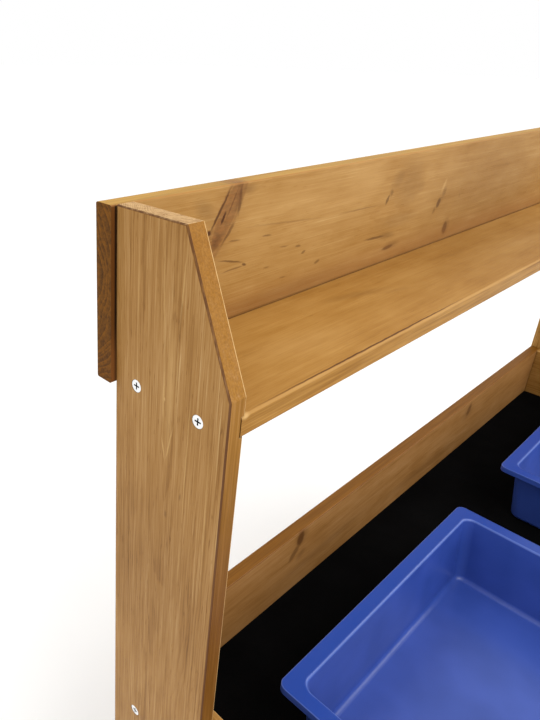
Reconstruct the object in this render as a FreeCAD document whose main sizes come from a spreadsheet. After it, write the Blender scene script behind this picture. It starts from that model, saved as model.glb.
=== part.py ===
"""Children's sand and water table with a raised toy shelf.

Two end boards stand at the rear and carry a back board and a toy shelf. A tray
of four rails on edge sits between them and two front legs. Slats screwed under
the rails clamp a cloth liner, and two loose bins with flat flanges stand on it.

Frame: X along the table, +Y to the back, +Z up, origin on the floor at the
middle of the table's outline. Millimetres.
"""

import FreeCAD, Part
import Sketcher
import math
import os
from types import SimpleNamespace

Vector = FreeCAD.Vector

DRIVING_SIZES = {
    # whole table
    "table_length": 1000,         # over the outer faces of the uprights
    "frame_depth": 500,           # front edge of the legs to rear edge of the uprights
    "table_height": 900,
    "board": 15,                  # thickness of legs, uprights, rails and stretchers
    "edge_radius": 1.5,           # eased edges of every board
    # uprights and legs
    "upright_width": 101,
    "upright_top_width": 60,
    "bend_drop": 94,              # top of the upright down to the end of its slope
    "leg_width": 101,
    # back board and shelf
    "back_board_thickness": 15,
    "back_board_drop": 1.5,       # its lower edge below the shelf's underside
    "back_board_overhang": 4,     # past the outer face of each upright
    "shelf_drop": 106.5,          # top of the upright down to the shelf's top face
    "shelf_thickness": 15,
    "shelf_edge_radius": 2.5,
    "dado_depth": 4,              # groove in the upright that houses the shelf
    "dado_clearance": 0.2,        # above and below the shelf
    "dado_end_gap": 1,            # left between the shelf's end and the groove
    # tray
    "tray_height": 505,           # floor to the top of the rails
    "rail_height": 84,
    "slat_thickness": 12,
    "slat_gap": 12,
    "liner_thickness": 1,
    "liner_inset": 1,             # the liner's edge stays behind the rails' faces
    # lower frame
    "stretcher_height": 60,
    "stretcher_clearance": 120,   # floor to the underside of the stretchers
    # bins
    "bin_end_clearance": 60,      # from a side rail to the flange
    "bin_side_clearance": 92,     # from a long rail to the flange
    "bin_spacing": 120,           # between the two flanges
    "bin_rim_drop": 3.7,          # rim below the top of the rails
    "bin_seat_gap": 0.3,          # between the liner and a bin's base
    "bin_wall": 2.4,
    "bin_base": 2.6,
    "bin_taper": 9,               # inset of each wall at the base
    "bin_corner_radius": 10,      # of the opening
    "bin_base_radius": 6,
    "flange_width": 15,
    "flange_thickness": 2.6,
    "flange_corner_radius": 8,
    "flange_inner_radius": 3,     # rounded lead into the opening
    "flange_outer_radius": 1,
    "lip_height": 7,              # turned-down edge of the flange
    "lip_thickness": 2.2,
    # screws
    "head_radius": 4.5,
    "head_height": 2.6,
    "head_rim": 0.4,
    "head_inset": 0.3,
    "shank_radius": 2.1,
    "tip_length": 5,
    "tip_radius": 0.5,
    "screw_clearance": 0.2,
    "long_screw": 40,
    "short_screw_cover": 3,       # wood left in front of a short screw's tip
    "recess_arm": 2.6,
    "recess_width": 1.1,
    "recess_depth": 1.6,
    # screw places
    "shelf_screw_rear_inset": 21.5,
    "shelf_screw_front_inset": 23.5,
    "shelf_screw_rise": 4.5,      # above the shelf's underside
    "back_screw_inset": 30,       # from the back board's top and bottom edges
    "shelf_back_screw_pitch": 310,
    "rail_screw_inset": 20,       # from a rail's top and bottom edges
    "stretcher_screw_inset": 16,
    "side_screw_inset": 28,       # from the edges of the frame's depth
    "side_screw_pitch": 45,
}
SLAT_COUNT = 8
SHELF_BACK_SCREW_COUNT = 3
CUT_OVERRUN = 1                   # how far a cutting profile starts outside the wood
NEAR = 0.01                       # when two places count as the same

PLANE_ALONG = {"X": "YZ_Plane", "Y": "XZ_Plane", "Z": "XY_Plane"}
UNIT = {"X": Vector(1, 0, 0), "Y": Vector(0, 1, 0), "Z": Vector(0, 0, 1)}


class Size:
    """A length that holds its value and the expression that binds it to the sheet."""

    def __init__(self, value, text):
        self.value = value
        self.text = text

    def __add__(self, other):
        other = as_size(other)
        return Size(self.value + other.value, f"({self.text} + {other.text})")

    def __sub__(self, other):
        other = as_size(other)
        return Size(self.value - other.value, f"({self.text} - {other.text})")

    def __mul__(self, factor):
        return Size(self.value * factor, f"({self.text} * {factor})")

    def __truediv__(self, divisor):
        return Size(self.value / divisor, f"({self.text} / {divisor})")

    def __neg__(self):
        return self * -1


def as_size(length):
    """A plain number becomes a Size too."""
    if isinstance(length, Size):
        return length
    return Size(length, str(length))


def bind(item, prop, length):
    """Set a property from a size and keep it bound to the sheet."""
    item.setExpression(prop, as_size(length).text)


def as_vector(point):
    return Vector(*[as_size(length).value for length in point])


# ---------------------------------------------------------------- document

doc = FreeCAD.newDocument("sand_and_water_table")
sheet = doc.addObject("Spreadsheet::Sheet", "Sizes")
for row, (name, number) in enumerate(DRIVING_SIZES.items(), start=1):
    sheet.set(f"A{row}", name)
    sheet.set(f"B{row}", str(number))
    sheet.setAlias(f"B{row}", name)
doc.recompute()

s = SimpleNamespace(**{
    name: Size(number, f"Sizes.{name}") for name, number in DRIVING_SIZES.items()
})

# places that several pieces share
outer_x = s.table_length / 2
inner_x = outer_x - s.board
rear = (s.frame_depth - s.back_board_thickness) / 2
front = rear - s.frame_depth
shelf_top = s.table_height - s.shelf_drop
shelf_bottom = shelf_top - s.shelf_thickness
rail_bottom = s.tray_height - s.rail_height
slat_top = rail_bottom - s.liner_thickness
slat_bottom = slat_top - s.slat_thickness
slat_width = (inner_x * 2 - s.slat_gap * (SLAT_COUNT - 1)) / SLAT_COUNT
slat_pitch = slat_width + s.slat_gap
back_board_height = s.shelf_drop + s.shelf_thickness + s.back_board_drop
back_board_bottom = s.table_height - back_board_height
bin_room = (inner_x - s.board) * 2 - s.bin_end_clearance * 2 - s.bin_spacing
bin_length = bin_room / 2
bin_width = s.frame_depth - s.board * 2 - s.bin_side_clearance * 2
bin_height = s.rail_height - s.bin_rim_drop - s.bin_seat_gap
short_screw = s.board * 2 - s.short_screw_cover


# ---------------------------------------------------------------- features

def new_body(label, place):
    """An empty body whose own origin stands at place."""
    body = doc.addObject("PartDesign::Body", label)
    body.Label = label
    body.Placement.Base = as_vector(place)
    for axis, length in zip("xyz", place):
        bind(body, f"Placement.Base.{axis}", length)
    return body


def origin_feature(body, role):
    """One of the body's own origin planes or axes."""
    return next(item for item in body.Origin.OriginFeatures if item.Role == role)


def new_sketch(body, name, plane, offset=(0, 0, 0), rotation=FreeCAD.Rotation()):
    """A sketch on one of the body's planes, moved in that plane's own axes."""
    sketch = body.newObject("Sketcher::SketchObject", f"{body.Name}_{name}")
    sketch.AttachmentSupport = (origin_feature(body, plane), [""])
    sketch.MapMode = "FlatFace"
    sketch.AttachmentOffset = FreeCAD.Placement(as_vector(offset), rotation)
    for axis, length in zip("xyz", offset):
        bind(sketch, f"AttachmentOffset.Base.{axis}", length)
    return sketch


def place_point(sketch, line, x, y):
    """Hold the start of a line at x, y from the sketch's origin."""
    for kind, axis, length in (("DistanceX", -2, x), ("DistanceY", -1, y)):
        if isinstance(length, Size):
            constraint = Sketcher.Constraint(kind, -1, 1, line, 1, length.value)
            index = sketch.addConstraint(constraint)
            bind(sketch, f"Constraints[{index}]", length)
        else:
            sketch.addConstraint(Sketcher.Constraint("PointOnObject", line, 1, axis))


def draw_polygon(sketch, points):
    """A closed outline through the points; a coordinate is a Size, or 0."""
    corners = [as_vector((x, y, 0)) for x, y in points]
    for start, end in zip(corners, corners[1:] + corners[:1]):
        sketch.addGeometry(Part.LineSegment(start, end))
    for line in range(len(points)):
        following = (line + 1) % len(points)
        sketch.addConstraint(Sketcher.Constraint("Coincident", line, 2, following, 1))
    for line, (x, y) in enumerate(points):
        place_point(sketch, line, x, y)


def draw_rounded_rectangle(sketch, half_x, half_y, radius):
    """A rectangle centred on the sketch's origin with four equal round corners."""
    x, y, r = half_x.value, half_y.value, radius.value
    first = sketch.GeometryCount
    quarter = math.pi / 2
    corners = [(x - r, y - r), (r - x, y - r), (r - x, r - y), (x - r, r - y)]
    starts = [(x - r, y), (-x, y - r), (r - x, -y), (x, r - y)]
    ends = [(r - x, y), (-x, r - y), (x - r, -y), (x, y - r)]
    for side in range(4):
        start, end = Vector(*starts[side], 0), Vector(*ends[side], 0)
        sketch.addGeometry(Part.LineSegment(start, end))
    for side in range(4):
        circle = Part.Circle(Vector(*corners[side], 0), Vector(0, 0, 1), r)
        sketch.addGeometry(Part.ArcOfCircle(circle, quarter * side, quarter * (side + 1)))
    top, left, bottom, right = range(first, first + 4)
    for line in (top, bottom):
        sketch.addConstraint(Sketcher.Constraint("Horizontal", line))
    for line in (left, right):
        sketch.addConstraint(Sketcher.Constraint("Vertical", line))
    for side in range(4):
        arc = first + 4 + side
        before = first + (side - 1) % 4
        sketch.addConstraint(Sketcher.Constraint("Tangent", before, 2, arc, 1))
        sketch.addConstraint(Sketcher.Constraint("Tangent", arc, 2, first + side, 1))
    for side in range(1, 4):
        sketch.addConstraint(Sketcher.Constraint("Equal", first + 4, first + 4 + side))
    measures = (
        ("DistanceX", right, half_x), ("DistanceX", left, -half_x),
        ("DistanceY", top, half_y), ("DistanceY", bottom, -half_y),
    )
    for kind, line, length in measures:
        index = sketch.addConstraint(
            Sketcher.Constraint(kind, -1, 1, line, 1, length.value))
        bind(sketch, f"Constraints[{index}]", length)
    index = sketch.addConstraint(Sketcher.Constraint("Radius", first + 4, r))
    bind(sketch, f"Constraints[{index}]", radius)


def add_pad(body, sketch, length, is_reversed=False):
    pad = body.newObject("PartDesign::Pad", f"{sketch.Name}_pad")
    pad.Profile = (sketch, [""])
    pad.Reversed = is_reversed
    bind(pad, "Length", length)
    doc.recompute()
    return pad


def add_pocket(body, sketch, length, is_reversed=False):
    """A pocket; it stops the build if it takes no material away."""
    before = body.Shape.Volume
    pocket = body.newObject("PartDesign::Pocket", f"{sketch.Name}_pocket")
    pocket.Profile = (sketch, [""])
    pocket.Reversed = is_reversed
    bind(pocket, "Length", length)
    doc.recompute()
    if not body.Shape.Volume < before:
        raise RuntimeError(f"{pocket.Name} cuts nothing")
    return pocket


def add_fillet(body, edges, radius):
    base = body.Tip
    fillet = body.newObject("PartDesign::Fillet", f"{body.Name}_fillet")
    fillet.Base = (base, edges)
    bind(fillet, "Radius", radius)
    doc.recompute()


def named_edges(shape, wanted):
    """The names of the shape's edges that the test accepts."""
    return [f"Edge{number}" for number, edge in enumerate(shape.Edges, start=1)
            if wanted(edge)]


def is_along(edge, direction):
    """Whether a straight edge runs along the direction."""
    if edge.Curve.TypeId != "Part::GeomLine":
        return False
    return abs(abs(edge.Curve.Direction.dot(direction)) - 1) < 1e-6


def is_level(edge, height):
    """Whether an edge lies flat at the height."""
    box = edge.BoundBox
    return abs(box.ZMin - height) < NEAR and abs(box.ZMax - height) < NEAR


def repeat(body, features, steps):
    """Repeat features in rows; each step is an axis, a pitch and a count."""
    pattern = body.newObject("PartDesign::MultiTransform", f"{features[0].Name}_rows")
    pattern.Originals = features
    rows = []
    for axis, pitch, count in steps:
        row = body.newObject("PartDesign::LinearPattern", f"{pattern.Name}_{axis}")
        row.Direction = (origin_feature(body, f"{axis}_Axis"), [""])
        row.Occurrences = count
        bind(row, "Length", pitch * (count - 1))
        rows.append(row)
    pattern.Transformations = rows
    body.Tip = pattern
    doc.recompute()
    return pattern


# ---------------------------------------------------------------- screws

def screw_row(label, start, direction, length, steps):
    """The facts of one group of equal screws; start is the first head's centre."""
    return SimpleNamespace(
        label=label, start=start, direction=direction, length=length, steps=steps)


def draw_screw(row):
    """The group's own body: countersunk screws with a cross recess."""
    body = new_body(row.label, row.start)
    turn = FreeCAD.Rotation(UNIT["X"], row.direction)
    profile = new_sketch(body, "profile", "XY_Plane", rotation=turn)
    rim = s.head_inset + s.head_rim
    neck = s.head_inset + s.head_height
    draw_polygon(profile, [
        (s.head_inset, 0), (s.head_inset, s.head_radius), (rim, s.head_radius),
        (neck, s.shank_radius), (row.length - s.tip_length, s.shank_radius),
        (row.length, s.tip_radius), (row.length, 0),
    ])
    screw = body.newObject("PartDesign::Revolution", f"{body.Name}_screw")
    screw.Profile = (profile, [""])
    screw.ReferenceAxis = (profile, ["H_Axis"])
    screw.Angle = 360
    doc.recompute()

    facing = FreeCAD.Rotation(UNIT["Z"], row.direction * -1)
    head = [s.head_inset * component for component in row.direction]
    cross = new_sketch(body, "cross", "XY_Plane", head, facing)
    arm, half = s.recess_arm, s.recess_width / 2
    draw_polygon(cross, [
        (arm, half), (half, half), (half, arm), (-half, arm),
        (-half, half), (-arm, half), (-arm, -half), (-half, -half),
        (-half, -arm), (half, -arm), (half, -half), (arm, -half),
    ])
    recess = add_pocket(body, cross, s.recess_depth)
    repeat(body, [screw, recess], row.steps)
    return body


def drill(body, row, depth, shift=(0, 0, 0), steps=None):
    """Countersunk clearance holes in a board, where the row's screws pass it."""
    turn = FreeCAD.Rotation(UNIT["X"], row.direction)
    place = [as_size(at) + more - own
             for at, more, own in zip(row.start, shift, pieces[body.Label].place)]
    profile = new_sketch(body, f"{row.label}_hole", "XY_Plane", place, turn)
    wide = s.head_radius + s.screw_clearance
    narrow = s.shank_radius + s.screw_clearance
    mouth = as_size(-CUT_OVERRUN)
    end = depth + CUT_OVERRUN
    draw_polygon(profile, [
        (mouth, 0), (mouth, wide), (s.head_inset + s.head_rim, wide),
        (s.head_inset + s.head_height, narrow), (end, narrow), (end, 0),
    ])
    before = body.Shape.Volume
    hole = body.newObject("PartDesign::Groove", f"{profile.Name}_groove")
    hole.Profile = (profile, [""])
    hole.ReferenceAxis = (profile, ["H_Axis"])
    hole.Angle = 360
    doc.recompute()
    steps = row.steps if steps is None else steps
    if steps:
        repeat(body, [hole], steps)
    if not body.Shape.Volume < before:
        raise RuntimeError(f"{hole.Name} cuts nothing")


# ---------------------------------------------------------------- pieces

pieces = {}


def keep(body, place):
    """List a body as a piece of the table."""
    pieces[body.Label] = SimpleNamespace(body=body, place=place)
    return body


def board(label, corner, size, along, radius=s.edge_radius):
    """A sawn board with eased long edges; corner is its lowest corner."""
    body = keep(new_body(label, corner), corner)
    spans = dict(zip("XYZ", size))
    across, up = [spans[axis] for axis in "XYZ" if axis != along]
    section = new_sketch(body, "section", PLANE_ALONG[along])
    draw_polygon(section, [(0, 0), (across, 0), (across, up), (0, up)])
    pad = add_pad(body, section, spans[along], is_reversed=along == "Y")
    if radius is not None:
        long_edges = named_edges(pad.Shape, lambda edge: is_along(edge, UNIT[along]))
        add_fillet(body, long_edges, radius)


def make_upright(label, side):
    """End board with a sloped top front edge and a groove for the shelf."""
    place = (outer_x * side - (s.board if side > 0 else as_size(0)), rear, as_size(0))
    body = keep(new_body(label, place), place)
    outline = new_sketch(body, "outline", "YZ_Plane")
    draw_polygon(outline, [
        (0, 0), (0, s.table_height), (-s.upright_top_width, s.table_height),
        (-s.upright_width, s.table_height - s.bend_drop), (-s.upright_width, 0),
    ])
    pad = add_pad(body, outline, s.board)

    def is_eased(edge):
        on_a_face = edge.BoundBox.XLength < NEAR
        return on_a_face and edge.BoundBox.ZMax > NEAR

    add_fillet(body, named_edges(pad.Shape, is_eased), s.edge_radius)
    inner_face = s.board if side < 0 else 0
    groove = new_sketch(body, "groove", "YZ_Plane", (0, 0, inner_face))
    low, high = shelf_bottom - s.dado_clearance, shelf_top + s.dado_clearance
    ahead, behind = -s.upright_width - CUT_OVERRUN, as_size(CUT_OVERRUN)
    draw_polygon(groove, [(behind, low), (behind, high), (ahead, high), (ahead, low)])
    add_pocket(body, groove, s.dado_depth, is_reversed=side > 0)


def make_shelf():
    """Toy shelf, housed in the uprights, with a rounder top front edge."""
    half = inner_x + s.dado_depth - s.dado_end_gap
    place = (-half, rear - s.upright_width, shelf_bottom)
    body = keep(new_body("shelf", place), place)
    section = new_sketch(body, "section", "YZ_Plane")
    width, thick = s.upright_width, s.shelf_thickness
    draw_polygon(section, [(0, 0), (width, 0), (width, thick), (0, thick)])
    pad = add_pad(body, section, half * 2)

    def is_nose(edge):
        box = edge.BoundBox
        at_top = box.ZMin > thick.value - NEAR
        return is_along(edge, UNIT["X"]) and box.YMax < NEAR and at_top

    def is_plain(edge):
        return is_along(edge, UNIT["X"]) and not is_nose(edge)

    add_fillet(body, named_edges(pad.Shape, is_plain), s.edge_radius)
    add_fillet(body, named_edges(body.Tip.Shape, is_nose), s.shelf_edge_radius)


def make_bin(label, side):
    """Tapered open bin with a flat flange and a turned-down lip."""
    centre_x = (s.bin_spacing + bin_length) / 2 * side
    place = (centre_x, (rear + front) / 2, rail_bottom + s.bin_seat_gap)
    body = keep(new_body(label, place), place)
    flange_x, flange_y = bin_length / 2, bin_width / 2
    open_x, open_y = flange_x - s.flange_width, flange_y - s.flange_width
    wall_x, wall_y = open_x + s.bin_wall, open_y + s.bin_wall
    wall_radius = s.bin_corner_radius + s.bin_wall

    def section(name, height, half_x, half_y, radius):
        sketch = new_sketch(body, name, "XY_Plane", (0, 0, height))
        draw_rounded_rectangle(sketch, half_x, half_y, radius)
        return sketch

    def loft(kind, name, low, high):
        feature = body.newObject(kind, f"{body.Name}_{name}")
        feature.Profile = (low, [""])
        feature.Sections = [(high, [""])]
        feature.Ruled = True
        doc.recompute()

    low = section("base", 0, wall_x - s.bin_taper, wall_y - s.bin_taper, wall_radius)
    high = section("top", bin_height, wall_x, wall_y, wall_radius)
    loft("PartDesign::AdditiveLoft", "walls", low, high)

    under = bin_height - s.flange_thickness
    flange = section("flange", under, flange_x, flange_y, s.flange_corner_radius)
    add_pad(body, flange, s.flange_thickness)
    lip = section("lip", bin_height - s.lip_height, flange_x, flange_y,
                  s.flange_corner_radius)
    lip_radius = s.flange_corner_radius - s.lip_thickness
    draw_rounded_rectangle(
        lip, flange_x - s.lip_thickness, flange_y - s.lip_thickness, lip_radius)
    add_pad(body, lip, s.lip_height)

    floor = section("floor", s.bin_base, open_x - s.bin_taper, open_y - s.bin_taper,
                    s.bin_corner_radius)
    opening = section("opening", bin_height, open_x, open_y, s.bin_corner_radius)
    loft("PartDesign::SubtractiveLoft", "hollow", floor, opening)

    def round_loop(height, half_x, radius):
        """Round the level loop of edges that passes through x = half_x."""
        reach = half_x.value

        def on_loop(edge):
            near = abs(edge.BoundBox.XMax - reach) < NEAR
            return is_level(edge, height) and near and is_along(edge, UNIT["Y"])

        add_fillet(body, named_edges(body.Tip.Shape, on_loop), radius)

    round_loop(bin_height.value, open_x, s.flange_inner_radius)
    round_loop(bin_height.value, flange_x, s.flange_outer_radius)
    round_loop(s.bin_base.value, open_x - s.bin_taper, s.bin_base_radius)
    round_loop(0, wall_x - s.bin_taper, s.bin_base_radius)


def make_all():
    """Every piece, from the floor up, then the screws and their holes."""
    for label, side in (("left_upright", -1), ("right_upright", 1)):
        make_upright(label, side)
    leg_size = (s.board, s.leg_width, s.tray_height)
    board("front_left_leg", (-outer_x, front, as_size(0)), leg_size, "Z")
    board("front_right_leg", (inner_x, front, as_size(0)), leg_size, "Z")

    back_x = outer_x + s.back_board_overhang
    back_size = (back_x * 2, s.back_board_thickness, back_board_height)
    board("back_board", (-back_x, rear, back_board_bottom),
          back_size, "X")
    make_shelf()

    long_rail = (inner_x * 2, s.board, s.rail_height)
    board("tray_rear_rail", (-inner_x, rear - s.board, rail_bottom), long_rail, "X")
    board("tray_front_rail", (-inner_x, front, rail_bottom), long_rail, "X")
    side_rail = (s.board, s.frame_depth - s.board * 2, s.rail_height)
    board("tray_left_rail", (-inner_x, front + s.board, rail_bottom), side_rail, "Y")
    board("tray_right_rail", (inner_x - s.board, front + s.board, rail_bottom),
          side_rail, "Y")

    slat_size = (slat_width, s.frame_depth, s.slat_thickness)
    for number in range(SLAT_COUNT):
        corner = (-inner_x + slat_pitch * number, front, slat_bottom)
        board(f"floor_slat_{number + 1}", corner, slat_size, "Y")
    liner_size = (inner_x * 2 - s.liner_inset * 2, s.frame_depth - s.liner_inset * 2,
                  s.liner_thickness)
    board("tray_liner", (-inner_x + s.liner_inset, front + s.liner_inset, slat_top),
          liner_size, "X", radius=None)

    side_stretcher = (s.board, s.frame_depth - s.board, s.stretcher_height)
    board("lower_left_stretcher", (-inner_x, front, s.stretcher_clearance),
          side_stretcher, "Y")
    board("lower_right_stretcher", (inner_x - s.board, front, s.stretcher_clearance),
          side_stretcher, "Y")
    board("lower_rear_stretcher", (-inner_x, rear - s.board, s.stretcher_clearance),
          (inner_x * 2, s.board, s.stretcher_height), "X")

    make_bin("bin_left", -1)
    make_bin("bin_right", 1)
    make_screws()


def make_screws():
    """Each group of screws, and the holes in the board that its heads sit in."""
    body_of = {label: piece.body for label, piece in pieces.items()}
    to_right, to_left = UNIT["X"], UNIT["X"] * -1
    to_front, to_rear = UNIT["Y"] * -1, UNIT["Y"]
    across_shelf = s.upright_width - s.shelf_screw_rear_inset - s.shelf_screw_front_inset
    shelf_screw_y = rear - s.upright_width + s.shelf_screw_front_inset
    shelf_screw_z = shelf_bottom + s.shelf_screw_rise
    side_y = front + s.side_screw_inset
    to_uprights = s.frame_depth - s.side_screw_inset * 2 - s.side_screw_pitch
    side_low = s.stretcher_clearance + s.stretcher_height / 2
    side_high = s.tray_height - s.rail_height / 2
    side_rise = side_high - side_low

    for name, side, direction in (("left", -1, to_right), ("right", 1, to_left)):
        face = outer_x * side
        shelf_row = screw_row(
            f"{name}_shelf_screws", (face, shelf_screw_y, shelf_screw_z),
            direction, s.long_screw, [("Y", across_shelf, 2)])
        side_steps = [("Y", s.side_screw_pitch, 2), ("Y", to_uprights, 2),
                      ("Z", side_rise, 2)]
        side_row = screw_row(
            f"{name}_side_screws", (face, side_y, side_low),
            direction, short_screw, side_steps)
        one_board = [("Y", s.side_screw_pitch, 2), ("Z", side_rise, 2)]
        upright = body_of[f"{name}_upright"]
        drill(upright, shelf_row, s.board)
        drill(upright, side_row, s.board, (0, to_uprights, 0), one_board)
        drill(body_of[f"front_{name}_leg"], side_row, s.board, steps=one_board)
        for row in (shelf_row, side_row):
            keep(draw_screw(row), row.start)

    back_face = rear + s.back_board_thickness
    edge_x = outer_x - s.board / 2
    back_row = screw_row(
        "back_board_screws",
        (-edge_x, back_face, back_board_bottom + s.back_screw_inset),
        to_front, s.long_screw,
        [("X", edge_x * 2, 2), ("Z", back_board_height - s.back_screw_inset * 2, 2)])
    shelf_back_row = screw_row(
        "shelf_back_screws",
        (s.shelf_back_screw_pitch * (-(SHELF_BACK_SCREW_COUNT - 1) / 2), back_face,
         shelf_bottom + s.shelf_thickness / 2),
        to_front, s.long_screw,
        [("X", s.shelf_back_screw_pitch, SHELF_BACK_SCREW_COUNT)])
    for row in (back_row, shelf_back_row):
        drill(body_of["back_board"], row, s.back_board_thickness)
        keep(draw_screw(row), row.start)

    corner_x = inner_x - s.board / 2
    rail_steps = [("X", corner_x * 2, 2), ("Z", s.rail_height - s.rail_screw_inset * 2, 2)]
    stretcher_rise = s.stretcher_height - s.stretcher_screw_inset * 2
    stretcher_z = s.stretcher_clearance + s.stretcher_screw_inset
    rail_z = rail_bottom + s.rail_screw_inset
    end_rows = (
        ("tray_rear_rail", "tray_rear_screws", rear, rail_z, to_front, rail_steps),
        ("tray_front_rail", "tray_front_screws", front, rail_z, to_rear, rail_steps),
        ("lower_rear_stretcher", "stretcher_screws", rear, stretcher_z, to_front,
         [("X", corner_x * 2, 2), ("Z", stretcher_rise, 2)]),
    )
    for drilled, label, face, height, direction, steps in end_rows:
        row = screw_row(label, (-corner_x, face, height), direction, s.long_screw, steps)
        drill(body_of[drilled], row, s.board)
        keep(draw_screw(row), row.start)

    slat_start = (-inner_x + slat_width / 2, front + s.board / 2, slat_bottom)
    across_tray = [("Y", s.frame_depth - s.board, 2)]
    slat_row = screw_row("floor_slat_screws", slat_start, UNIT["Z"], s.long_screw,
                         [("X", slat_pitch, SLAT_COUNT)] + across_tray)
    for number in range(SLAT_COUNT):
        shift = (slat_pitch * number, 0, 0)
        slat = body_of[f"floor_slat_{number + 1}"]
        drill(slat, slat_row, s.slat_thickness, shift, across_tray)
    keep(draw_screw(slat_row), slat_row.start)


def check_document():
    """Stop if any feature failed or any piece has no valid shape."""
    doc.recompute()
    failed = [item.Name for item in doc.Objects
              if "Invalid" in item.State or "Error" in item.State]
    if failed:
        raise RuntimeError("failed features: " + ", ".join(failed))
    for label, piece in pieces.items():
        shape = piece.body.Shape
        if shape.isNull() or not shape.isValid():
            raise RuntimeError(f"{label} has no valid shape")


def write_parts():
    """One STEP file for each piece."""
    os.makedirs("parts", exist_ok=True)
    for label, piece in pieces.items():
        piece.body.Shape.exportStep(f"parts/{label}.step")
        box = piece.body.Shape.BoundBox
        print(f"{label:24s} {len(piece.body.Shape.Solids):3d} solids  "
              f"{box.XLength:7.1f} {box.YLength:7.1f} {box.ZLength:7.1f}")


make_all()
check_document()
write_parts()
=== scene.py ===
import math
from collections import namedtuple

import bmesh
import bpy
from mathutils import Matrix, Vector, noise


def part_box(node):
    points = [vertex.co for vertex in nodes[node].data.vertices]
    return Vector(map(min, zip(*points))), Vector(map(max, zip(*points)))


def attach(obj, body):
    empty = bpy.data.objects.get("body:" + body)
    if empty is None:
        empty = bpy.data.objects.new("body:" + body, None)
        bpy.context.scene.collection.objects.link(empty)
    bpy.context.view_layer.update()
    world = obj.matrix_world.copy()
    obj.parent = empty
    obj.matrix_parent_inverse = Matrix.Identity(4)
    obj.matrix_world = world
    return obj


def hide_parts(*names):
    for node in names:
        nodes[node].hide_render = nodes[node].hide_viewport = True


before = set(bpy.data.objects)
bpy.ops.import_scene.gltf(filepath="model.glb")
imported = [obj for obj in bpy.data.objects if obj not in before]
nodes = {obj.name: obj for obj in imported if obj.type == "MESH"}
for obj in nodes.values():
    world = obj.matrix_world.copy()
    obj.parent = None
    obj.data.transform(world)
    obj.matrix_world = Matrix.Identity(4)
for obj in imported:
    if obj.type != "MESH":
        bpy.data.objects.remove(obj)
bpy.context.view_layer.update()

scene = bpy.context.scene

MM = 1000.0                     # millimetres in a metre; the materials are worked out in millimetres
AXES = {"x": 0, "y": 1, "z": 2}
MIDDLE = (0.5, 0.5, 0.5)        # what a colour noise averages to


# ---------------------------------------------------------------- camera, light and floor

def aim_camera():
    """The camera looks down along the left upright, with the shelf and the tray behind it."""
    data = bpy.data.cameras.new("camera")
    data.sensor_fit = "VERTICAL"
    data.sensor_width, data.sensor_height = 24.0, 36.0
    data.lens = 30.65
    data.shift_x, data.shift_y = 0.1875, -0.0428
    data.clip_start = 0.02
    camera = bpy.data.objects.new("camera", data)
    scene.collection.objects.link(camera)
    turn = Matrix.Rotation(math.radians(-41.23), 4, "Z")
    tilt = Matrix.Rotation(math.radians(90.0 - 24.32), 4, "X")
    roll = Matrix.Rotation(math.radians(1.03), 4, "Z")
    place = Matrix.Translation((-0.7346, -0.0445, 0.9845))
    camera.matrix_world = place @ turn @ tilt @ roll
    scene.camera = camera


def add_area_light(name, place, target, size, power, colour):
    data = bpy.data.lights.new(name, "AREA")
    data.shape = "RECTANGLE"
    data.size, data.size_y = size
    data.energy = power
    data.color = colour
    light = bpy.data.objects.new(name, data)
    scene.collection.objects.link(light)
    light.location = place
    light.rotation_euler = (Vector(target) - Vector(place)).to_track_quat("-Z", "Y").to_euler()


def light_studio():
    """A soft sky that is brighter overhead and plain white behind the object, and two soft lights."""
    world = bpy.data.worlds.new("studio")
    scene.world = world
    world.use_nodes = True
    tree = world.node_tree
    sky = tree.nodes["Background"]
    sky.inputs["Strength"].default_value = 1.0
    direction = tree.nodes.new("ShaderNodeTexCoord").outputs["Generated"]
    height = tree.nodes.new("ShaderNodeSeparateXYZ")
    tree.links.new(direction, height.inputs[0])
    shade = tree.nodes.new("ShaderNodeValToRGB")
    tree.links.new(height.outputs["Z"], shade.inputs[0])
    row = shade.color_ramp.elements
    row[0].position, row[0].color = 0.0, (0.70, 0.70, 0.71, 1.0)
    row[1].position, row[1].color = 0.8, (1.23, 1.23, 1.22, 1.0)
    seen = tree.nodes.new("ShaderNodeMix")
    seen.data_type = "RGBA"
    tree.links.new(tree.nodes.new("ShaderNodeLightPath").outputs["Is Camera Ray"], seen.inputs[0])
    tree.links.new(shade.outputs[0], seen.inputs[6])
    seen.inputs[7].default_value = (1.0, 1.0, 1.0, 1.0)
    tree.links.new(seen.outputs[2], sky.inputs["Color"])
    add_area_light("key_light", place=(-0.55, -0.95, 2.05), target=(-0.25, 0.2, 0.8),
                   size=(1.1, 0.8), power=13.0, colour=(1.0, 0.985, 0.96))
    add_area_light("fill_light", place=(0.75, -0.75, 1.35), target=(-0.3, 0.05, 0.45),
                   size=(0.9, 0.7), power=5.0, colour=(1.0, 0.995, 0.985))
    scene.view_settings.view_transform = "Standard"


def lay_floor():
    mesh = bpy.data.meshes.new("floor")
    floor = bpy.data.objects.new("floor", mesh)
    scene.collection.objects.link(floor)
    form = bmesh.new()
    bmesh.ops.create_grid(form, x_segments=8, y_segments=8, size=40.0)
    form.to_mesh(mesh)
    form.free()
    paint = Paint("pale_floor")
    spots = paint.noise(paint.position(1.0), 3.0, detail=3.0)
    paint.colour(paint.ramp(spots, [(0.3, (0.95, 0.95, 0.945)), (0.7, (0.98, 0.98, 0.975))]))
    paint.set("Roughness", 0.9)
    paint.set("Specular IOR Level", 0.1)
    mesh.materials.append(paint.material)


# ---------------------------------------------------------------- material building

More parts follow.
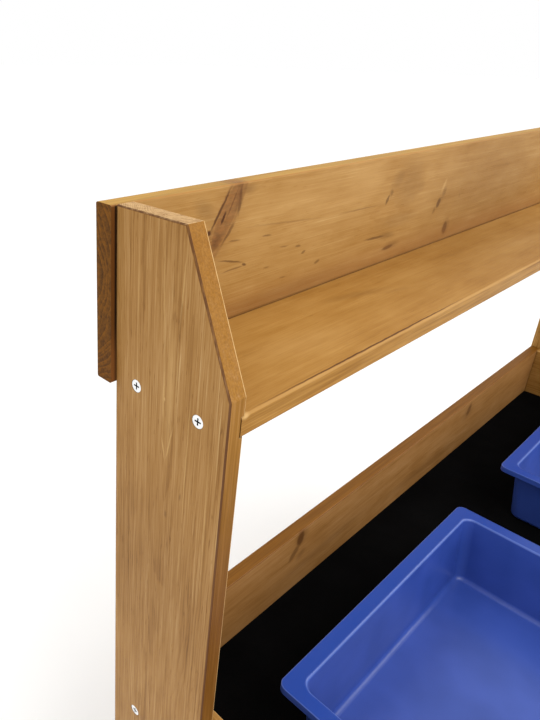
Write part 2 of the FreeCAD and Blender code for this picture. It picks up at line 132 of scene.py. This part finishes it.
class Paint:
    """A procedural material, built node by node on top of one Principled shader."""

    def __init__(self, name):
        self.material = bpy.data.materials.new(name)
        self.material.use_nodes = True
        self.tree = self.material.node_tree
        self.shader = self.tree.nodes["Principled BSDF"]

    def put(self, socket, value):
        """Links a socket or sets a constant."""
        if isinstance(value, bpy.types.NodeSocket):
            self.tree.links.new(value, socket)
        elif isinstance(value, (tuple, list)) and len(value) == 3 and socket.type == "RGBA":
            socket.default_value = (*value, 1.0)
        else:
            socket.default_value = value

    def add(self, kind, *inputs, **settings):
        node = self.tree.nodes.new(kind)
        for key, value in settings.items():
            setattr(node, key, value)
        for socket, value in zip(node.inputs, inputs):
            if value is not None:
                self.put(socket, value)
        return node

    def set(self, name, value):
        self.put(self.shader.inputs[name], value)

    def math(self, operation, a, b=None, c=None, clamp=False):
        return self.add("ShaderNodeMath", a, b, c, operation=operation, use_clamp=clamp).outputs[0]

    def times(self, a, b):
        return self.math("MULTIPLY", a, b)

    def plus(self, a, b):
        return self.math("ADD", a, b)

    def less(self, a, b):
        return self.math("SUBTRACT", a, b)

    def times_plus(self, a, b, c, clamp=False):
        return self.math("MULTIPLY_ADD", a, b, c, clamp)

    def most(self, shades):
        """The strongest of several shades."""
        total = shades[0]
        for shade in shades[1:]:
            total = self.math("MAXIMUM", total, shade)
        return total

    def sway(self, value, cells, amount):
        """A value that a noise moves up and down, by amount from its darkest to its palest."""
        return self.times_plus(self.less(cells, 0.5), amount, value)

    def vector(self, operation, a, b=None, c=None):
        node = self.add("ShaderNodeVectorMath", a, b, c, operation=operation)
        return node.outputs["Value" if operation == "LENGTH" else "Vector"]

    def position(self, scale):
        """The point on the piece, in the row frame, times scale."""
        place = self.add("ShaderNodeTexCoord").outputs["Object"]
        return self.vector("MULTIPLY", place, (scale,) * 3)

    def normal(self):
        return self.add("ShaderNodeNewGeometry").outputs["Normal"]

    def corners(self, distance):
        """1 in the open, less where another surface is nearer than distance, in metres."""
        node = self.add("ShaderNodeAmbientOcclusion", samples=6)
        node.inputs["Distance"].default_value = distance
        return node.outputs["AO"]

    def split(self, vector):
        return self.add("ShaderNodeSeparateXYZ", vector).outputs

    def join(self, x, y, z):
        return self.add("ShaderNodeCombineXYZ", x, y, z).outputs[0]

    def noise(self, vector, scale, detail=2.0, roughness=0.5, colour=False):
        node = self.tree.nodes.new("ShaderNodeTexNoise")
        self.put(node.inputs["Vector"], vector)
        node.inputs["Scale"].default_value = scale
        node.inputs["Detail"].default_value = detail
        node.inputs["Roughness"].default_value = roughness
        return node.outputs["Color" if colour else "Fac"]

    def step(self, value, low, high, to_low=0.0, to_high=1.0):
        """A smooth step from to_low at low to to_high at high."""
        node = self.tree.nodes.new("ShaderNodeMapRange")
        node.interpolation_type = "SMOOTHSTEP"
        self.put(node.inputs["Value"], value)
        self.put(node.inputs["From Min"], low)
        self.put(node.inputs["From Max"], high)
        self.put(node.inputs["To Min"], to_low)
        self.put(node.inputs["To Max"], to_high)
        return node.outputs[0]

    def fade(self, value, full, gone):
        """A smooth step from 1 at full to 0 at gone."""
        return self.step(value, full, gone, 1.0, 0.0)

    def ramp(self, value, stops):
        node = self.tree.nodes.new("ShaderNodeValToRGB")
        self.put(node.inputs[0], value)
        row = node.color_ramp.elements
        while len(row) < len(stops):
            row.new(0.5)
        for element, (place, colour) in zip(row, stops):
            element.position = place
            element.color = (*colour, 1.0)
        return node.outputs[0]

    def mix(self, factor, a, b, blend="MIX"):
        node = self.tree.nodes.new("ShaderNodeMix")
        node.data_type = "RGBA"
        node.blend_type = blend
        self.put(node.inputs[0], factor)
        self.put(node.inputs[6], a)
        self.put(node.inputs[7], b)
        return node.outputs[2]

    def colour(self, value):
        self.put(self.shader.inputs["Base Color"], value)

    def bump(self, height, strength, distance):
        node = self.tree.nodes.new("ShaderNodeBump")
        self.put(node.inputs["Height"], height)
        node.inputs["Strength"].default_value = strength
        node.inputs["Distance"].default_value = distance
        self.put(self.shader.inputs["Normal"], node.outputs[0])


def tint(red, green, blue):
    """A screen colour, 0 to 255, as the linear colour the shader takes."""
    return tuple(((c / 255 + 0.055) / 1.055) ** 2.4 if c > 10 else c / 3295 for c in (red, green, blue))


# ---------------------------------------------------------------- stained pine

# A knot or patch on a board: where it lies along and across, half its length and width, the
# turn of its length in degrees, and how strongly it shows.
Spot = namedtuple("Spot", "u v half_u half_v turn strength")


class Pine(Paint):
    """Solid stained pine for one board, with year rings about a pith line.

    along and across are the axes of the board's length and width. u, v and w are the distances
    from its middle along, across and through it, in millimetres, and pith is where the pith line
    runs, across and through it. The values below are what a board has unless it is told otherwise.
    """

    spacing = 2.3                   # from one year ring to the next
    taper = 0.012                   # how far the pith line leans through the board, per length
    drift_by = 26.0                 # how far the rings wander
    seed = 0.0                      # shifts every noise, so that no two boards look alike
    tone = 0.0                      # paler above zero, darker below
    cast = (1.0, 1.0, 1.0)          # multiplies the colour of the whole board
    rings = 1.0                     # strength of the year rings
    edge_rings = 1.0                # the share of that strength on the narrow edges
    figure = 1.0                    # strength of the fibres and streaks
    patchy = 1.0                    # strength of the uneven stain
    knots = ()
    marks = ()                      # dark spots, streaks and shades
    faint = 0.45                    # a mark weaker than this has no firm outline
    lights = ()                     # pale streaks
    face = 0.0                      # the depth w of all of these
    edge_tint = None                # the stain of the narrow edges
    edge_share = 0.75
    ends = ((84, 46, 14), (128, 82, 36))    # darkest and palest end grain
    end_stain = 0.8
    arris = (206, 168, 112)         # the colour of the arrises, rubbed and given a painted highlight
    rubbed_and_lit_share = 0.5
    outer_side = 0                  # on an upright, the side of its outer face: -1 left, 1 right
    crevice_shade = 0.5                      # strength of the painted shade in inner corners
    extra = None                    # a function of the board and its colour, for one board's own shade

    def __init__(self, node, along, across, pith, **look):
        super().__init__("pine_" + node)
        for name, value in look.items():
            assert hasattr(Pine, name), "a board has no " + name
            setattr(self, name, value)
        low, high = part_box(node)
        through = (set(AXES) - {along, across}).pop()
        order = [AXES[axis] for axis in (along, across, through)]
        self.place = self.vector("SUBTRACT", self.position(MM), tuple((low + high) * (MM / 2)))
        xyz = self.split(self.place)
        self.u, self.v, self.w = (xyz[index] for index in order)
        self.board = self.join(self.u, self.v, self.w)
        self.facing = self.normal()
        sides = [self.math("ABSOLUTE", part) for part in self.split(self.facing)]
        self.end_face, self.across_face, self.through_face = (sides[index] for index in order)
        self.edge = self.step(self.through_face, 0.45, 0.15)
        self.end = self.step(self.end_face, 0.55, 0.9)
        ragged = self.wander(9.0, 5.0, 3.0, 0.6, 4.4, (3.0, 1.5, 1.5))
        self.ragged_board = self.vector("ADD", self.board, ragged)

        radius, knotted = self.grow_knots(self.ring_radius(pith))
        self.grow_rings(radius)
        self.draw_fibres()
        wood = self.mix(1.0, self.stained(), self.cast, "MULTIPLY")
        wood = self.tint_edges(wood)
        wood = self.spot(wood, knotted)
        if self.extra is not None:
            wood = self.extra(self, wood)
        self.colour(self.rub_and_paint_light(self.soak_ends(wood)))
        self.finish_surface()
        nodes[node].material_slots[0].material = self.material

    def grain(self, long, cross, detail=2.0, roughness=0.5, shift=0.0, colour=False):
        """A noise with cells about long by cross millimetres; shift tells one from another."""
        scale = (1.0 / long, 1.0 / cross, 1.0 / cross)
        start = (self.seed * 7.3 + shift, self.seed * 3.1 + shift, self.seed * 5.7)
        cells = self.vector("MULTIPLY_ADD", self.board, scale, start)
        return self.noise(cells, 1.0, detail, roughness, colour)

    def wander(self, long, cross, detail, roughness, shift, amount):
        """A vector that wanders about zero, by amount along u, v and w."""
        cells = self.grain(long, cross, detail, roughness, shift, colour=True)
        return self.vector("MULTIPLY", self.vector("SUBTRACT", cells, MIDDLE), amount)

    def reach(self, spot, depth):
        """Distance from a spot's middle, 1 on its ragged outline."""
        middle = (spot.u, spot.v, self.face)
        turn = (0.0, 0.0, math.radians(spot.turn))
        size = (spot.half_u, spot.half_v, depth)
        local = self.add("ShaderNodeMapping", self.ragged_board, middle, turn, size, vector_type="TEXTURE")
        return self.vector("LENGTH", local.outputs[0])

    def ring_radius(self, pith):
        """Distance from the pith line, with the rings' slow drift and fine waver."""
        drift = self.wander(230.0, 46.0, 2.0, 0.45, 1.7, (0.0, self.drift_by, self.drift_by))
        waver = self.wander(36.0, 7.0, 2.0, 0.5, 9.1, (0.0, 2.0, 2.0))
        moved = self.vector("ADD", self.vector("ADD", self.board, drift), waver)
        _, v, w = self.split(moved)
        lean = self.times_plus(self.u, self.taper, w)
        return self.vector("LENGTH", self.join(0.0, self.less(v, pith[0]), self.less(lean, pith[1])))

    def grow_knots(self, radius):
        """The rings swell round each knot, which has a body, a dark rim and a faint halo."""
        bodies = []
        for knot in map(Spot._make, self.knots):
            away = self.reach(knot, 30.0)
            swell = self.times(self.fade(away, 0.0, 3.2), min(knot.half_u, knot.half_v) * 0.45)
            radius = self.plus(radius, swell)
            body = self.times(self.fade(away, 0.72, 1.05), knot.strength)
            ring = self.less(self.step(away, 0.62, 1.0), self.step(away, 1.0, 1.22))
            rim = self.times(ring, 0.5 * knot.strength)
            halo = self.times(self.fade(away, 0.9, 2.4), 0.22 * knot.strength)
            bodies += [body, self.plus(rim, halo)]
        return radius, self.most(bodies) if bodies else None

    def grow_rings(self, radius):
        """year runs from 0 to 1 across each ring, and late is its dark late wood."""
        uneven = self.times(self.noise(self.join(radius, self.seed * 11.0, 0.0), 0.09, 1.0), 3.2)
        self.year = self.math("FRACT", self.plus(self.math("DIVIDE", radius, self.spacing), uneven))
        late = self.times(self.step(self.year, 0.25, 0.86), self.fade(self.year, 0.90, 1.0))
        strength = self.step(self.grain(160.0, 24.0, 1.0, 0.5, 6.6), 0.30, 0.68, 0.25, 1.0)
        strength = self.times(strength, self.times_plus(self.edge, self.edge_rings - 1.0, 1.0))
        self.late = self.times(late, self.times(strength, self.rings))

    def draw_fibres(self):
        self.fibre = self.grain(30.0, 0.8, 3.0, 0.65, 2.2)
        self.strand = self.grain(70.0, 1.4, 2.0, 0.6, 1.2)
        self.streak = self.grain(150.0, 3.6, 2.0, 0.55, 5.5)
        self.pores = self.step(self.grain(11.0, 0.9, 1.0, 0.4, 3.9), 0.66, 0.75)

    def stained(self):
        """The wood's colour, from one value that rings, fibres and uneven stain make paler or darker."""
        cloud = self.grain(85.0, 30.0, 3.0, 0.55, 8.8)
        blotch = self.grain(38.0, 16.0, 2.0, 0.6, 3.3)
        silver = self.step(self.grain(80.0, 1.0, 1.0, 0.4, 7.1), 0.58, 0.70)
        value = self.times_plus(self.late, -0.27, 0.60 + self.tone)
        value = self.sway(value, self.fibre, 0.50 * self.figure)
        value = self.sway(value, self.strand, 0.40 * self.figure)
        value = self.sway(value, self.streak, 0.46 * self.figure)
        value = self.sway(value, cloud, 0.46 * self.patchy)
        value = self.sway(value, blotch, 0.22 * self.patchy)
        value = self.times_plus(self.pores, -0.18 * self.figure, value)
        value = self.times_plus(silver, 0.16 * self.figure, value)
        return self.ramp(value, [
            (0.0, tint(82, 48, 10)), (0.28, tint(132, 88, 31)), (0.55, tint(162, 117, 56)),
            (0.78, tint(177, 134, 74)), (1.0, tint(196, 159, 100)),
        ])

    def tint_edges(self, wood):
        """Narrow edges take their own stain. Straight ones show lines, sloped ones cut fibres."""
        if self.edge_tint is not None:
            wood = self.mix(self.times(self.edge, self.edge_share), wood, tint(*self.edge_tint))
        cut = self.step(self.noise(self.place, 0.75, 3.0, 0.65), 0.34, 0.66)
        cut = self.ramp(cut, [(0.0, (0.88, 0.85, 0.78)), (1.0, (1.12, 1.13, 1.14))])
        line = self.step(self.times_plus(self.streak, 0.4, self.times(self.strand, 0.6)), 0.38, 0.62)
        line = self.ramp(line, [(0.0, (0.86, 0.84, 0.80)), (1.0, (1.11, 1.12, 1.14))])
        figured = self.mix(self.step(self.end_face, 0.12, 0.28), line, cut)
        return self.mix(self.edge, wood, self.mix(1.0, wood, figured, "MULTIPLY"))

    def spot(self, wood, knotted):
        """Knots, pale streaks and dark marks."""
        if knotted is not None:
            burl = self.grain(5.0, 3.0, 3.0, 0.6, 7.7)
            burl = self.ramp(burl, [(0.3, tint(84, 44, 18)), (0.7, tint(134, 80, 38))])
            wood = self.mix(knotted, wood, burl)
        pale = []
        for light in map(Spot._make, self.lights):
            pale.append(self.times(self.fade(self.reach(light, 4.0), 0.1, 1.1), light.strength))
        if pale:
            wood = self.mix(self.most(pale), wood, tint(206, 167, 108))
        dark = []
        for mark in map(Spot._make, self.marks):
            full = 0.1 if mark.strength < self.faint else 0.45
            dark.append(self.times(self.fade(self.reach(mark, 4.0), full, 1.1), mark.strength))
        if dark:
            wood = self.mix(self.most(dark), wood, tint(72, 36, 8))
        return wood

    def soak_ends(self, wood):
        """End grain takes more stain, unevenly and by the year."""
        cells = self.noise(self.place, 0.35, 3.0, 0.7)
        soaked = self.times_plus(cells, 1.7, self.times_plus(self.year, -0.5, -0.05), clamp=True)
        darkest, palest = self.ends
        end_grain = self.mix(soaked, tint(*darkest), tint(*palest))
        return self.mix(self.times(self.end, self.end_stain), wood, end_grain)

    def rub_and_paint_light(self, wood):
        """Arrises are rubbed and take painted light: a painted highlight on most, painted shade on an
        upright's outer ones. Painted shade darkens inner corners.
        """
        rubbed_and_lit_arris = tint(*self.arris)
        if self.outer_side:
            flat = self.most([self.through_face, self.step(self.through_face, 0.35, 0.0)])
            inward = self.w if self.outer_side < 0 else self.times(self.w, -1.0)
            # An upright's outer arrises get painted shade instead of the painted highlight
            rubbed_and_lit_arris = self.mix(self.step(inward, -2.0, 2.0), tint(82, 46, 17), rubbed_and_lit_arris)
        else:
            flat = self.most([self.through_face, self.across_face, self.end_face])
        patches = self.times(self.step(self.streak, 0.3, 0.6, 0.6, 1.0), self.rubbed_and_lit_share)
        wood = self.mix(self.times(self.step(flat, 0.985, 0.84), patches), wood, rubbed_and_lit_arris)
        # Painted shade where another surface is near: inner corners and the gaps between boards
        crevice_shade_mask = self.step(self.corners(0.003), 0.95, 0.45, 0.0, self.crevice_shade)
        return self.mix(crevice_shade_mask, wood, tint(58, 32, 12))

    def finish_surface(self):
        rough = self.times_plus(self.fibre, 0.16, 0.44)
        rough = self.times_plus(self.end, 0.2, rough)
        self.set("Roughness", self.times_plus(self.late, -0.06, rough))
        self.set("Specular IOR Level", 0.16)
        relief = self.times_plus(self.late, 0.5, self.times(self.fibre, 0.55))
        relief = self.times_plus(self.pores, -0.5, relief)
        self.bump(relief, 0.30, 0.00025)


def facing_front(board):
    """1 where the surface faces -Y, the front."""
    return board.step(board.times(board.split(board.facing)[1], -1.0), 0.3, 0.7)


def shade_overhang(board, wood):
    """The back board runs past the uprights; painted shade darkens the strip beside each upright, which never
    sees light, and a band along the board's bottom, above the shelf.
    """
    outer = -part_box("left_upright")[0].x * MM       # the uprights' outer faces
    reach = board.math("ABSOLUTE", board.u)
    strip = board.times(board.step(reach, outer - 0.6, outer - 0.2), facing_front(board))
    depth = board.mix(board.step(reach, outer + 0.5, outer + 1.7), tint(0, 0, 0), tint(98, 58, 20))
    wood = board.mix(strip, wood, depth)
    # Painted shade, darker and redder towards the bottom, where the shelf meets the board
    low_band = board.times(board.step(board.v, -14.0, -50.0), 0.5)
    return board.mix(low_band, wood, tint(140, 88, 44))


def shade_front_edge(board, wood):
    """An upright's front edge is paler about the end of its slope and darker lower down."""
    start, span = 180.0, 250.0      # the shades run over this height above the upright's middle
    height = board.times_plus(board.u, 1.0 / span, -start / span, clamp=True)
    shade = board.ramp(height, [
        (0.0, (0.68, 0.64, 0.9)), (0.35, (0.91, 0.96, 1.6)), (0.6, (1.18, 1.32, 2.5)), (1.0, (1.0, 1.0, 1.0)),
    ])
    return board.mix(facing_front(board), wood, shade, "MULTIPLY")


# ---------------------------------------------------------------- the boards, with spots placed one by one

def stain_back_board():
    # The long knot by the left upright, its cracks and its dark surround
    knot = (-396, 40, 35, 9.5, 60, 0.62)
    marks = [
        (-404, 44, 21, 1.5, 57, 0.80), (-383, 49, 14, 2.4, 86, 0.60), (-393, 26, 12, 1.8, 49, 0.50),
        (-400, 38, 6, 1.8, 63, 0.95), (-391, 48, 14, 1.0, 62, 0.50), (-414.4, 29, 2.4, 2.4, 0, 0.95),
        (-406, 22, 10, 6.0, 56, 0.44), (-384, 50, 16, 5.5, 84, 0.36), (-420, 46, 9, 16, 60, 0.26),
        (-376, 56, 16, 5, 0, 0.30),
    ]
    # Thin grain lines, and broad shades towards the middle
    marks += [
        (-210, 17.4, 46, 1.1, -1, 0.34), (-320, 22.7, 66, 1.1, -4.4, 0.26),
        (-120, 30, 42, 36, 0, 0.22), (-144, 37, 20, 13, 20, 0.28), (-97, 26, 18, 12, 0, 0.22),
        (-126, -4, 60, 12, 0, 0.18), (-330, -38, 150, 9, 1, 0.18), (40, 10, 70, 60, 0, 0.16),
        (100, 0, 260, 110, 0, 0.26),
    ]
    # Pin knots with their shades
    marks += [
        (-161, 20, 6.5, 2.6, 62, 0.60), (-155, 26, 6, 5, 80, 0.44),
        (-45.2, 1.4, 7.5, 5.0, 57, 0.72), (-36, 12, 11, 8, 52, 0.44), (-53, -6, 8, 5, 45, 0.40),
        (-42, 3, 20, 12, 57, 0.26), (-15, -31, 10, 7.5, 92, 0.76), (-13, -30, 19, 17, 90, 0.42),
        (-171, -16.2, 24, 1.7, -3, 0.60), (-150, -17.5, 22, 5, -3, 0.32), (-143, -30.9, 14, 2.6, 3, 0.74),
        (-138, -30, 24, 6, 3, 0.36), (6, 3, 6, 6, 0, 0.34),
    ]
    # Resin flecks
    marks += [
        (-346.6, 16, 7, 1.0, -4, 0.50), (-385.8, 18.6, 8, 0.9, -4, 0.45), (-321.8, 2.6, 8, 0.9, -3, 0.42),
        (-302, -0.7, 5, 1.3, -6, 0.50), (-293, -7.8, 4, 1.5, 10, 0.50), (-270, -20.9, 5, 1.6, 12, 0.48),
        (-318.6, -24.8, 6, 1.1, 0, 0.40), (-343, -11.3, 5, 1.0, 0, 0.40), (-388, 2.8, 17, 0.9, -12.5, 0.62),
        (-385, -4, 15, 0.8, 2.5, 0.46), (-372, -2.6, 3, 1.4, -20, 0.70),
    ]
    lights = [
        (-200, 44, 42, 26, -6, 0.20), (-300, 36, 90, 16, -4, 0.10), (-40, 20, 10, 3.6, 60, 0.5),
        (-30, 40, 40, 14, 10, 0.14),
    ]
    Pine("back_board", "x", "z", (14, 62), spacing=4.2, taper=0.016, seed=1.0, tone=0.09, rings=0.26,
         figure=0.55, cast=(0.96, 0.98, 1.02), knots=[knot], marks=marks, lights=lights, face=-7.5,
         edge_tint=(172, 128, 36), ends=((50, 24, 0), (122, 73, 6)), end_stain=0.96, arris=(160, 108, 50),
         crevice_shade=0.45, extra=shade_overhang)


def stain_shelf():
    marks = [
        (-330, -48.4, 165, 0.9, 0, 0.85), (-250, 14, 66, 9, -12, 0.22), (-214, -2, 44, 6, -14, 0.18),
        (-60, 14, 84, 13, -8, 0.18), (-20, 34, 60, 7, 4, 0.2), (60, 0, 420, 110, 0, 0.19),
    ]
    # The last one is a painted highlight on the front left corner
    lights = [
        (-380, -12, 70, 22, -10, 0.14), (60, -12, 90, 14, -6, 0.12), (-484.5, -50.5, 4.5, 4.0, 0, 1.0),
    ]
    Pine("shelf", "x", "y", (10, -70), spacing=4.4, taper=0.022, seed=2.0, tone=0.03, rings=0.18,
         figure=0.5, cast=(0.97, 0.95, 0.84), marks=marks, lights=lights, face=7.5, arris=(178, 136, 78),
         crevice_shade=0.35)


def stain_uprights():
    marks = [
        (180, 0, 110, 100, 0, 0.10), (269.5, -16.2, 4, 1.2, 0, 0.42), (247.4, -3.6, 5, 1.5, 0, 0.4),
        (236, 31, 30, 7, 0, 0.12),
    ]
    # Pale fibres that run together to a point, and single ones beside them
    lights = [
        (299, 1.2, 12, 1.0, 12.6, 0.55), (336, 2.5, 34, 1.0, 0.5, 0.44), (400, 5.2, 50, 0.9, 2, 0.36),
        (305, -4, 19, 1.0, -11, 0.55), (352, -8, 42, 1.0, 0, 0.42), (412, -9.8, 34, 1.0, -3.3, 0.42),
        (345, -2.4, 66, 5.0, 0, 0.28), (305, -19.7, 70, 0.9, -0.9, 0.34), (270, -38.4, 64, 0.9, 0.5, 0.34),
        (403, 28.5, 34, 0.9, 0, 0.28), (214, -18.4, 26, 0.9, 0, 0.3), (335.5, 2.1, 2.2, 1.2, 0, 0.7),
    ]
    both = dict(rings=0.5, figure=1.2, patchy=0.7, drift_by=9.0, edge_rings=0.25, edge_tint=(136, 87, 0),
                ends=((116, 74, 30), (222, 186, 134)), rubbed_and_lit_share=0.9, crevice_shade=0.25, extra=shade_front_edge)
    Pine("left_upright", "z", "y", (-3, 52), spacing=1.25, taper=0.008, seed=3.0, tone=-0.005,
         cast=(0.935, 0.94, 1.085), marks=marks, lights=lights, face=-7.5, outer_side=-1, **both)
    Pine("right_upright", "z", "y", (8, -58), spacing=1.4, taper=0.009, seed=4.0,
         knots=[(-160, 18, 7, 6, 0, 0.7)], outer_side=1, **both)


def stain_rear_rail():
    marks = [
        (-245.5, 32, 14, 9.0, 88, 0.78), (-244, 34, 18, 16, 88, 0.38), (-254, 16, 15, 6.5, 47, 0.5),
        (-240, 6, 12, 8, 30, 0.34), (193, 26, 14, 9.0, 75, 0.6), (190, 22, 26, 16, 0, 0.3),
        (-200, -12, 120, 9, 2, 0.22), (60, -20, 160, 12, 0, 0.2),
    ]
    Pine("tray_rear_rail", "x", "z", (-8, 48), spacing=3.8, taper=0.015, seed=7.0, tone=-0.02, rings=0.3,
         figure=0.6, cast=(0.98, 0.94, 1.2), marks=marks, face=-7.5, edge_rings=0.4,
         edge_tint=(113, 69, 0), edge_share=0.92, arris=(100, 60, 20), rubbed_and_lit_share=0.85)


def stain_frame_boards():
    """The legs, the other rails, the stretchers and the slats."""
    Pine("front_left_leg", "z", "y", (-120, 60), spacing=2.4, taper=0.014, seed=5.0,
         knots=[(60, -20, 8, 6, 15, 0.7)])
    Pine("front_right_leg", "z", "y", (90, -70), spacing=2.5, taper=0.014, seed=6.0)
    rail_knots = [(150, -14, 8, 6, 0, 0.7), (-260, 20, 5, 4, 0, 0.6)]
    Pine("tray_front_rail", "x", "z", (12, -52), spacing=2.7, taper=0.015, seed=8.0, rings=0.7,
         knots=rail_knots)
    short = dict(spacing=2.6, taper=0.014, rings=0.7)
    Pine("tray_left_rail", "y", "z", (6, 56), seed=9.0, **short)
    Pine("tray_right_rail", "y", "z", (-10, -50), seed=10.0, knots=[(80, 10, 6, 5, 0, 0.65)], **short)
    Pine("lower_left_stretcher", "y", "z", (4, 45), seed=11.0, **short)
    Pine("lower_right_stretcher", "y", "z", (-9, -45), seed=12.0, knots=[(-90, 6, 6, 5, 0, 0.65)], **short)
    Pine("lower_rear_stretcher", "x", "z", (0, 52), seed=13.0, knots=[(120, 8, 7, 5, 0, 0.7)], **short)
    for number in range(1, 9):
        side = 1 if number % 2 else -1
        knot = (side * 30 * number - 90, -side * 22, 7, 5, 0, 0.7)
        Pine(f"floor_slat_{number}", "y", "x", (side * (6 + 5 * number), -60 * side), spacing=2.7,
             taper=0.012 + 0.001 * number, seed=13.0 + number, tone=0.02 * side, rings=0.7,
             knots=[knot] if number in (2, 5, 8) else ())


# ---------------------------------------------------------------- plastic and metal

def colour_bins():
    """Glossy moulded blue, with painted shade deepening the flat flange and a painted highlight where the lip
    bends over.
    """
    paint = Paint("moulded_blue")
    place = paint.position(MM)
    cloud = paint.noise(place, 0.02, 2.0)
    skin = paint.noise(place, 1.1, 2.0, 0.6)
    flow = paint.noise(paint.vector("MULTIPLY", place, (0.2, 0.2, 1.0)), 0.05, 2.0)
    blue = paint.ramp(paint.sway(cloud, skin, 0.25), [(0.3, tint(45, 70, 147)), (0.7, tint(55, 80, 163))])
    upward = paint.split(paint.normal())[2]
    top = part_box("bin_left")[1].z * MM
    rim = paint.step(paint.split(place)[2], top - 4.0, top - 2.5)
    # Painted shade on the flat flange that faces up
    flange = paint.times(paint.step(upward, 0.9, 0.97), rim)
    # A painted highlight where the lip bends over
    bend = paint.times(paint.step(upward, 0.25, 0.5), paint.step(upward, 0.97, 0.85))
    lip = paint.times(paint.times(bend, rim), 0.34)
    paint.colour(paint.mix(lip, paint.mix(flange, blue, tint(22, 60, 146)), tint(104, 132, 206)))
    paint.set("Roughness", paint.times_plus(flow, 0.12, 0.24))
    paint.set("Specular IOR Level", 0.42)
    paint.bump(skin, 0.10, 0.0002)
    for name in ("bin_left", "bin_right"):
        nodes[name].material_slots[0].material = paint.material


def plate_screws():
    """Bright zinc heads whose cross recess and countersunk rim fall into shade."""
    for name, node in nodes.items():
        if not name.endswith("screws"):
            continue
        paint = Paint("bright_zinc_" + name)
        place = paint.position(MM)
        cloud = paint.noise(place, 0.6, 2.0)
        scratch = paint.noise(place, 4.0, 2.0)
        metal = paint.ramp(cloud, [(0.3, (0.80, 0.81, 0.82)), (0.7, (0.92, 0.92, 0.92))])
        shaded = paint.step(paint.corners(0.002), 0.85, 0.45)
        paint.colour(paint.mix(shaded, metal, (0.006, 0.006, 0.006)))
        paint.set("Metallic", 1.0)
        paint.set("Roughness", paint.times_plus(scratch, 0.15, 0.26))
        paint.bump(scratch, 0.08, 0.0001)
        node.material_slots[0].material = paint.material


# ---------------------------------------------------------------- the liner cloth

def liner_height(x, y, edge, gaps):
    """How far the cloth is from flat, in metres: it sags into the slats' gaps and swells a little.

    edge is the distance to its nearest cut edge, and gaps are the x of the gaps between slats.
    """
    pinched, loosens_over = 0.016, 0.03     # the width under the rails, and the width beside it
    gap_width, gap_sag, swell_by = 0.0065, 0.0010, 0.00014
    free = min(1.0, max(0.0, (edge - pinched) / loosens_over))
    sag = sum(math.exp(-((x - gap) / gap_width) ** 2) for gap in gaps)
    broad = noise.noise(Vector((x * 9.0, y * 11.0, 3.0)))
    narrow = noise.noise(Vector((x * 23.0, y * 19.0, 8.0)))
    swell = broad + 0.5 * narrow
    return swell_by * swell * free - gap_sag * sag * free


def make_liner_mesh(low, high):
    columns, rows = 227, 125                # cells of about 4 mm
    middle = low.z + 0.00045                # of the cloth's thickness, where it lies flat
    slats = [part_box(f"floor_slat_{number}") for number in range(1, 9)]
    gaps = [(left[1].x + right[0].x) / 2 for left, right in zip(slats, slats[1:])]
    form = bmesh.new()
    grid = []
    for row in range(rows + 1):
        y = low.y + (high.y - low.y) * row / rows
        line = []
        for column in range(columns + 1):
            x = low.x + (high.x - low.x) * column / columns
            edge = min(x - low.x, high.x - x, y - low.y, high.y - y)
            line.append(form.verts.new((x, y, middle + liner_height(x, y, edge, gaps))))
        grid.append(line)
    for near, far in zip(grid, grid[1:]):
        for column in range(columns):
            form.faces.new((near[column], near[column + 1], far[column + 1], far[column]))
    mesh = bpy.data.meshes.new("liner_sheet")
    form.to_mesh(mesh)
    form.free()
    for face in mesh.polygons:
        face.use_smooth = True
    return mesh


def shaded_black_nonwoven():
    paint = Paint("shaded_black_nonwoven")
    place = paint.position(MM)
    felt = paint.noise(place, 0.9, 4.0, 0.7)
    lint = paint.noise(paint.vector("MULTIPLY", place, (0.15, 1.6, 1.0)), 0.8, 3.0, 0.7)
    cloud = paint.noise(place, 0.02, 3.0)
    shade = paint.plus(paint.times(felt, 0.5), paint.times(cloud, 0.5))
    # The cloth's own black, made darker still as painted shade in the sunken tray
    paint.colour(paint.ramp(shade, [(0.35, (0.0016, 0.0016, 0.0017)), (0.7, (0.0040, 0.0040, 0.0042))]))
    paint.set("Roughness", paint.times_plus(lint, 0.1, 0.9))
    paint.set("Specular IOR Level", 0.02)
    paint.bump(paint.plus(felt, lint), 0.4, 0.0003)
    return paint.material


def lay_liner():
    """A black non-woven cloth, laid over the slats and held under the rails at its edges."""
    low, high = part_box("tray_liner")
    mesh = make_liner_mesh(low, high)
    mesh.materials.append(shaded_black_nonwoven())
    liner = bpy.data.objects.new("liner_sheet", mesh)
    scene.collection.objects.link(liner)
    thick = liner.modifiers.new("thickness", "SOLIDIFY")
    thick.thickness = 0.0007
    thick.offset = 0.0

    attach(liner, "table")
    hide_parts("tray_liner")


aim_camera()
light_studio()
lay_floor()
stain_back_board()
stain_shelf()
stain_uprights()
stain_rear_rail()
stain_frame_boards()
colour_bins()
plate_screws()
lay_liner()

bpy.context.view_layer.update()
